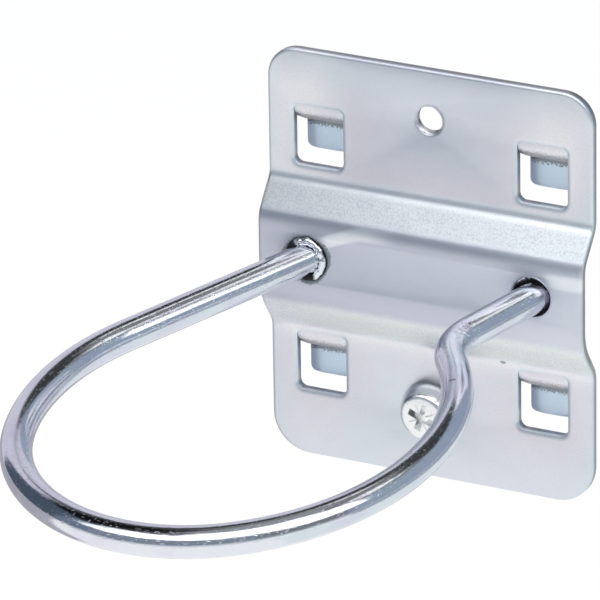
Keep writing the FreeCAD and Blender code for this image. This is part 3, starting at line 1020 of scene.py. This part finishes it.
def shade_disc(centre, depth):
    """Black disc of painted shade at the bottom of the gap between the rod and its hole."""
    points = [(centre[0], depth, centre[1])]
    for ring_number in range(1, BED_RINGS + 1):
        for x, z in circle((*centre, BED_RADIUS_MM * ring_number / BED_RINGS), 0, WELD_SIDES):
            points.append((x, depth + BED_RELIEF_MM * noise.noise(Vector((x, z, 0)) * BED_LUMPS), z))
    faces = [(0, 1 + (side + 1) % WELD_SIDES, 1 + side) for side in range(WELD_SIDES)]
    faces += [tuple(corner + 1 for corner in face) for face in tube_faces(BED_RINGS, WELD_SIDES)]
    return points, faces, [1.0] * len(points)


print("points of one rope of weld metal:", WELD_SIDES * WELD_ROUND)

# %% Both welds
def weld_piece(name, shells):
    """Piece of weld metal from its shells, with how black each point is kept on its points."""
    points, faces, soot_and_shade = join_shells(shells)
    piece = mesh_object(name, np.array(points) * MM, faces)
    keep_on_points(piece, "soot_and_shade", soot_and_shade)
    print(name, "sooty points:", sum(value > 0.9 for value in soot_and_shade), "of", len(soot_and_shade))
    return piece


left, right = LEFT_ROOT_MM[:2], RIGHT_ROOT_MM[:2]
left_weld = weld_piece("left_weld_rope", [
    weld_rope(left, FRONT_ROPE, 0.0), weld_rope(left, BACK_ROPE, 3.0), shade_disc(left, LAND_FRONT_MM + 0.2),
])
right_weld = weld_piece("right_weld_rope", [
    weld_rope(right, BACK_ROPE, 7.0), shade_disc(right, LAND_BACK_MM - 0.2),
])
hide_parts("left_weld_bead")
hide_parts("right_weld_bead")

# %% [markdown]
# Weld metal is plated like the rest, but its lumps stay, and the burnt seams take no zinc. They aren't
# painted black by hand: how black each point is, from charred seams or painted shade in the gaps, is
# mixed with the lumps of the surface, so the border between silver and black comes out ragged.

# %% Finish of the weld
WELD_ZINC = (0.78, 0.81, 0.86)


def weld_finish():
    material, tree = new_finish("plated_weld_metal")
    lumps = clouds(place_mm(tree), 1.4, 4.0)
    # Black where the weld is charred, and painted shade in the gaps round the rod.
    blackened = rise(kept(tree, "soot_and_shade") + lumps * 0.7, 0.72, 1.12)
    metal(layered(WELD_ZINC, (blackened, NEAR_BLACK)), 0.22 + blackened * 0.4, relief((lumps, 0.07)), 1 - blackened * 0.6)
    return material


weld_metal = weld_finish()
dress(left_weld, weld_metal, "weld_metal")
dress(right_weld, weld_metal, "weld_metal")

# %% [markdown]
# The screw is a pan head with a cross recess, turned a little, with a rolled thread on its shank. Its
# face is triangulated like the plate: the recess is a loop at the face and a smaller loop at its floor,
# and the steep walls lie between them. Four small ticks stand between the arms of the cross.

# %% Recess of the screw
HEAD_PROFILE_MM = (
    (3.3, -4.97), (3.55, -4.84), (3.75, -4.66), (3.92, -4.42), (4.1, -4.08), (4.28, -3.7), (4.47, -3.3),
    (4.62, -2.95), (4.72, -2.66), (4.75, -2.4), (4.75, -1.95), (4.7, -1.72), (4.55, -1.55), (4.35, -1.5),
)
FACE_RADIUS_MM = HEAD_PROFILE_MM[0][0]
FACE_TOP_MM = -5.2
FACE_DROP_MM = 0.23
FACE_RINGS_MM = (2.6, 3.0)
WING_MM = (2.3, 0.56)
WING_FLOOR_MM = (1.6, 0.38)
RECESS_MM = 1.6
TICK_MM = (0.85, 2.0, 0.13)
TICK_DEPTH_MM = 0.25
SCREW_COLUMNS = 96


def plus_loop(long, wide):
    """Outline of a cross with arms of half length long and half width wide."""
    loop = []
    for turn in range(4):
        c, s = math.cos(math.pi / 2 * turn), math.sin(math.pi / 2 * turn)
        loop += [(x * c - z * s, x * s + z * c) for x, z in ((long, -wide), (long, wide), (wide, wide))]
    return loop


def tick_loop(turn):
    """Outline of the tick that stands after so many quarter turns."""
    angle = math.pi / 4 + turn * math.pi / 2
    ahead, aside = Vector((math.cos(angle), math.sin(angle))), Vector((-math.sin(angle), math.cos(angle)))
    start, end, half = TICK_MM
    spots = ((start, 0), (start, half), (end, half), (end, 0), (end, -half), (start, -half))
    return [ahead * along_tick + aside * across for along_tick, across in spots]


def recess_depth(x, z):
    """Depth of the cross recess and of the four ticks at a point of the screw's face."""
    long, wide = WING_MM
    slope_long, slope_wide = long - WING_FLOOR_MM[0], wide - WING_FLOOR_MM[1]
    arms = [min((long - abs(a)) / slope_long, (wide - abs(b)) / slope_wide) for a, b in ((x, z), (z, x))]
    depth = RECESS_MM * min(1.0, max(0.0, *arms))
    across, along_tick = abs(abs(x) - abs(z)) / math.sqrt(2), (abs(x) + abs(z)) / math.sqrt(2)
    if TICK_MM[0] <= along_tick <= TICK_MM[1]:
        depth = max(depth, TICK_DEPTH_MM * (1 - across / TICK_MM[2]))
    return depth


print("depth of the recess and of a tick in mm:", RECESS_MM, TICK_DEPTH_MM)

# %% Face of the screw
def screw_face():
    """Points and triangles of the screw's face out to the first row of the head."""
    loops = [circle((0, 0, FACE_RADIUS_MM), 0, SCREW_COLUMNS)]
    loops += [plus_loop(*size) for size in (WING_MM, WING_FLOOR_MM)]
    loops += [circle((0, 0, radius), 0, 40) for radius in FACE_RINGS_MM]
    loops += [tick_loop(turn) for turn in range(4)]
    flat, triangles = filled(loops)
    domed = []
    for x, z in flat:
        dome = FACE_DROP_MM * (math.hypot(x, z) / FACE_RADIUS_MM) ** 2
        domed.append((x, FACE_TOP_MM + dome + recess_depth(x, z), z))
    return domed, triangles


face_points, face_triangles = screw_face()
print("points of the screw's face:", len(face_points), "triangles:", len(face_triangles))

# %% [markdown]
# Everything round the screw's axis is a grid of rows, from the rim of the face down to the tip. The
# thread is again a screw line that moves the points of those rows. Where the grid meets the face, their
# doubled points are merged. The coat is brighter than the plate's, with painted shade where the head
# meets the plate.

# %% The whole screw
SCREW_TURN_DEG = 20
SHANK_ROWS = 57
SHANK_RADIUS_MM = 2.47
SHANK_END_MM = 4.5
SHANK_TIP_MM = 0.6


def round_rows():
    """Rows of the head and the shank as (radius, depth, how deep the thread is cut)."""
    rows = [(radius, depth, 0.0) for radius, depth in HEAD_PROFILE_MM]
    for depth in np.linspace(FRONT_Y_MM, SHANK_END_MM, SHANK_ROWS):
        taper = max(0.0, depth - SHANK_END_MM + SHANK_TIP_MM)
        cut = min(1.0, 2 * (depth - FRONT_Y_MM) / SHEET_MM) if taper == 0 else 0.5
        rows.append((SHANK_RADIUS_MM - taper, depth, cut))
    return rows


def screw_piece():
    """The screw, turned about its axis and set in its hole."""
    rows = round_rows()
    grid = []
    for radius, depth, cut in rows:
        for angle, c, s in spokes(SCREW_COLUMNS):
            own = radius - cut * THREAD_DEPTH_MM * thread_depth(angle, depth)
            grid.append((own * c, depth, own * s))
    sides = tube_faces(len(rows), SCREW_COLUMNS)
    sides.append(tuple(range(len(grid) - SCREW_COLUMNS, len(grid))))
    points, faces = join_shells([(face_points, face_triangles), (grid, sides)])
    turn = math.radians(SCREW_TURN_DEG)
    c, s = math.cos(turn), math.sin(turn)
    placed = [((x * c + z * s) * MM, y * MM, (z * c - x * s + SCREW_HOLE_MM[1]) * MM) for x, y, z in points]
    piece = mesh_object("pan_head_screw", placed, faces)
    work = bmesh.new()
    work.from_mesh(piece.data)
    bmesh.ops.remove_doubles(work, verts=work.verts, dist=0.001 * MM)
    bmesh.ops.recalc_face_normals(work, faces=work.faces)
    work.to_mesh(piece.data)
    work.free()
    piece.data.shade_smooth()
    sharpen(piece)
    return piece


screw = screw_piece()
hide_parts("locking_screw")
print("points of the screw:", len(screw.data.vertices))

# %% Finish of the screw
SCREW_ZINC = (0.84, 0.86, 0.87)
SCREW_SHINE = (0.90, 0.91, 0.92)


def screw_finish():
    material, tree = new_finish("bright_zinc_screw")
    place = place_mm(tree)
    fine = clouds(place, 3.0, 4.0)
    depth = split(place)[1]
    # Painted shade on the head's side where it meets the plate.
    shade_under_head = rise(depth + fine * 0.4, -3.0, -2.1)
    colour = layered(SCREW_ZINC, (fine, SCREW_SHINE), (shade_under_head * 0.8, DULL_ZINC_AND_SHADE))
    metal(colour, 0.14 + fine * 0.16, relief((fine, 0.02)))
    return material


dress(screw, screw_finish(), "plated_screw")

# %% [markdown]
# Now the studio, which starts with a plain pale floor. A share of its brightness doesn't come from the
# lamp but is its own, and only the camera and mirror rays see that share. So the picture's ground is
# white, the metal mirrors it, and the object's soft shadow still falls on it. One lamp above lights the
# floor, and isn't seen in the metal itself.

# %% Floor
FLOOR_DROP = 0.16
FLOOR_HALF = 6
FLOOR_GREY = (0.9, 0.9, 0.9, 1)
FLOOR_SHOWS = 0.8


def floor_finish():
    material, tree = new_finish("pale_floor")
    matt = tree.node("BsdfDiffuse", {}, {"Color": FLOOR_GREY}, "BSDF")
    kinds = ("Camera", "Glossy", "Transmission")
    rays = [tree.node("LightPath", {}, {}, f"Is {kind} Ray") for kind in kinds]
    seen = (rays[0] + rays[1] + rays[2]) * FLOOR_SHOWS
    shine = tree.node("Emission", {}, {"Color": (1, 1, 1, 1), "Strength": 1.0}, "Emission")
    pale = tree.node("MixShader", {}, {0: seen, 1: matt, 2: shine}, "Shader")
    tree.node("OutputMaterial", {}, {"Surface": pale})
    return material


corners = [(x * FLOOR_HALF, y * FLOOR_HALF, -FLOOR_DROP) for x, y in ((-1, -1), (1, -1), (1, 1), (-1, 1))]
floor = mesh_object("floor", corners, [(0, 1, 2, 3)])
floor.data.materials.append(floor_finish())
print("floor below the origin in metres:", FLOOR_DROP)

# %% Lamp and world
LAMP_SIZE = 1.6
LAMP_HEIGHT = 1.5
LAMP_WATTS = 27.0
WORLD_COLOUR = (0.69, 0.68, 0.77, 1)

floor_lamp = bpy.data.objects.new("floor_lamp", bpy.data.lights.new("floor_lamp", "AREA"))
floor_lamp.data.size = LAMP_SIZE
floor_lamp.data.energy = LAMP_WATTS
floor_lamp.location = (0, 0, LAMP_HEIGHT)
floor_lamp.visible_camera = False
floor_lamp.visible_glossy = False
bpy.context.scene.collection.objects.link(floor_lamp)

world = bpy.data.worlds.new("studio")
world.use_nodes = True
world.node_tree.nodes.clear()
sky = Wire(world.node_tree)
backdrop = sky.node("Background", {}, {"Color": WORLD_COLOUR, "Strength": 1.0}, "Background")
sky.node("OutputWorld", {}, {"Surface": backdrop})
bpy.context.scene.world = world
bpy.context.scene.view_settings.view_transform = "Standard"
print("lamp watts:", LAMP_WATTS, "metres above the origin:", LAMP_HEIGHT)

# %% [markdown]
# Bright metal shows little of its own colour. It shows the room. A product studio gives it a large white
# light in front and above, darker walls that draw the slate-blue streaks along the rod, a black ceiling
# for the crisp dark line, and a pale table below. The walls are real panels here, not painted into the
# finish, so the streaks move as they should when the camera goes round. The camera itself doesn't see
# them. Their places and greys were read from what the rod and the plate mirror in the photo.

# %% Places and greys of the panels
NEAR = 1.6
FAR, TOP, ON_FLOOR = NEAR * 1.1, NEAR * 1.15, 0.0
PANELS = (
    ("soft_light", (-42, 50), (31, 60), (2.0, 2.0, 2.0), NEAR),
    ("soft_light_side", (50, 88), (26, 60), (2.0, 2.0, 2.0), NEAR),
    ("soft_light_top", (-14, 78), (60, 73), (1.8, 1.8, 1.8), NEAR),
    ("soft_light_edge", (-52, -42), (31, 60), (1.4, 1.45, 1.5), NEAR),
    ("side_light", (97, 128), (53, 66), (1.1, 1.12, 1.12), NEAR),
    ("back_light", (180, 196), (64, 71), (1.2, 1.2, 1.2), NEAR),
    ("left_wall", (-108, -60), (-2, 50), (0.075, 0.10, 0.135), FAR),
    ("left_wall_edge", (-60, -38), (-2, 60), (0.17, 0.21, 0.28), FAR),
    ("front_wall", (-42, 40), (-2, 32), (0.24, 0.28, 0.33), FAR),
    ("right_wall", (40, 80), (-2, 32), (0.205, 0.22, 0.24), FAR),
    ("back_wall", (78, 190), (-2, 45), (0.33, 0.40, 0.49), FAR),
    ("dark_ceiling", (-130, -50), (48, 76), (0.006, 0.006, 0.007), FAR),
    ("left_ceiling", (-50, -12), (58, 76), (0.15, 0.16, 0.16), FAR),
    ("right_ceiling", (78, 140), (45, 62), (0.22, 0.24, 0.25), FAR),
    ("back_ceiling", (140, 230), (42, 62), (0.045, 0.05, 0.05), FAR),
    ("high_ceiling", (76, 230), (62, 76), (0.22, 0.23, 0.23), FAR),
    ("top_ceiling", (-180, 180), (72, 90), (0.32, 0.33, 0.35), TOP),
    ("floor_left", (-180, -60), (-52, -3), (0.46, 0.46, 0.50), ON_FLOOR),
    ("floor_right", (45, 180), (-75, -18), (0.86, 0.92, 0.93), ON_FLOOR),
    ("floor_edge", (-50, 80), (-10, -3), (0.57, 0.63, 0.66), ON_FLOOR),
    ("floor_back", (80, 180), (-18, -3), (0.38, 0.43, 0.48), ON_FLOOR),
)
print("panels of the room:", len(PANELS))

# %% Panels of the studio
CARD_LIFT = 0.002
PANEL_STEP_DEG = 5


def glow_finish(name, colour):
    """Panel that is as bright as its colour, whatever light falls on it."""
    material, tree = new_finish(name)
    shine = tree.node("Emission", {}, {"Color": (*colour, 1), "Strength": 1.0}, "Emission")
    tree.node("OutputMaterial", {}, {"Surface": shine})
    return material


def room_panel(name, azimuths, elevations, colour, radius):
    """Panel of the studio between two azimuths and two elevations, unseen by the camera.

    It stands on a sphere round the object, or lies on the floor where its radius is 0. A card on the
    floor shows only in reflections.
    """
    spans = (azimuths, elevations)
    columns, rows = [max(2, round((end - start) / PANEL_STEP_DEG)) + 1 for start, end in spans]
    points = []
    for elevation in np.linspace(*elevations, rows):
        for azimuth in np.linspace(*azimuths, columns):
            direction = toward(azimuth, elevation)
            points.append(direction * (radius or (FLOOR_DROP - CARD_LIFT) / -direction.z))
    corners = [row * columns + column for row in range(rows - 1) for column in range(columns - 1)]
    faces = [(corner, corner + 1, corner + columns + 1, corner + columns) for corner in corners]
    panel = mesh_object(name, points, faces)
    panel.data.materials.append(glow_finish(name, colour))
    panel.visible_camera = False
    if radius == ON_FLOOR:
        panel.visible_shadow = False
        panel.visible_diffuse = False


for panel in PANELS:
    room_panel(*panel)
print("staged from", PANELS[0][0], "to", PANELS[-1][0])
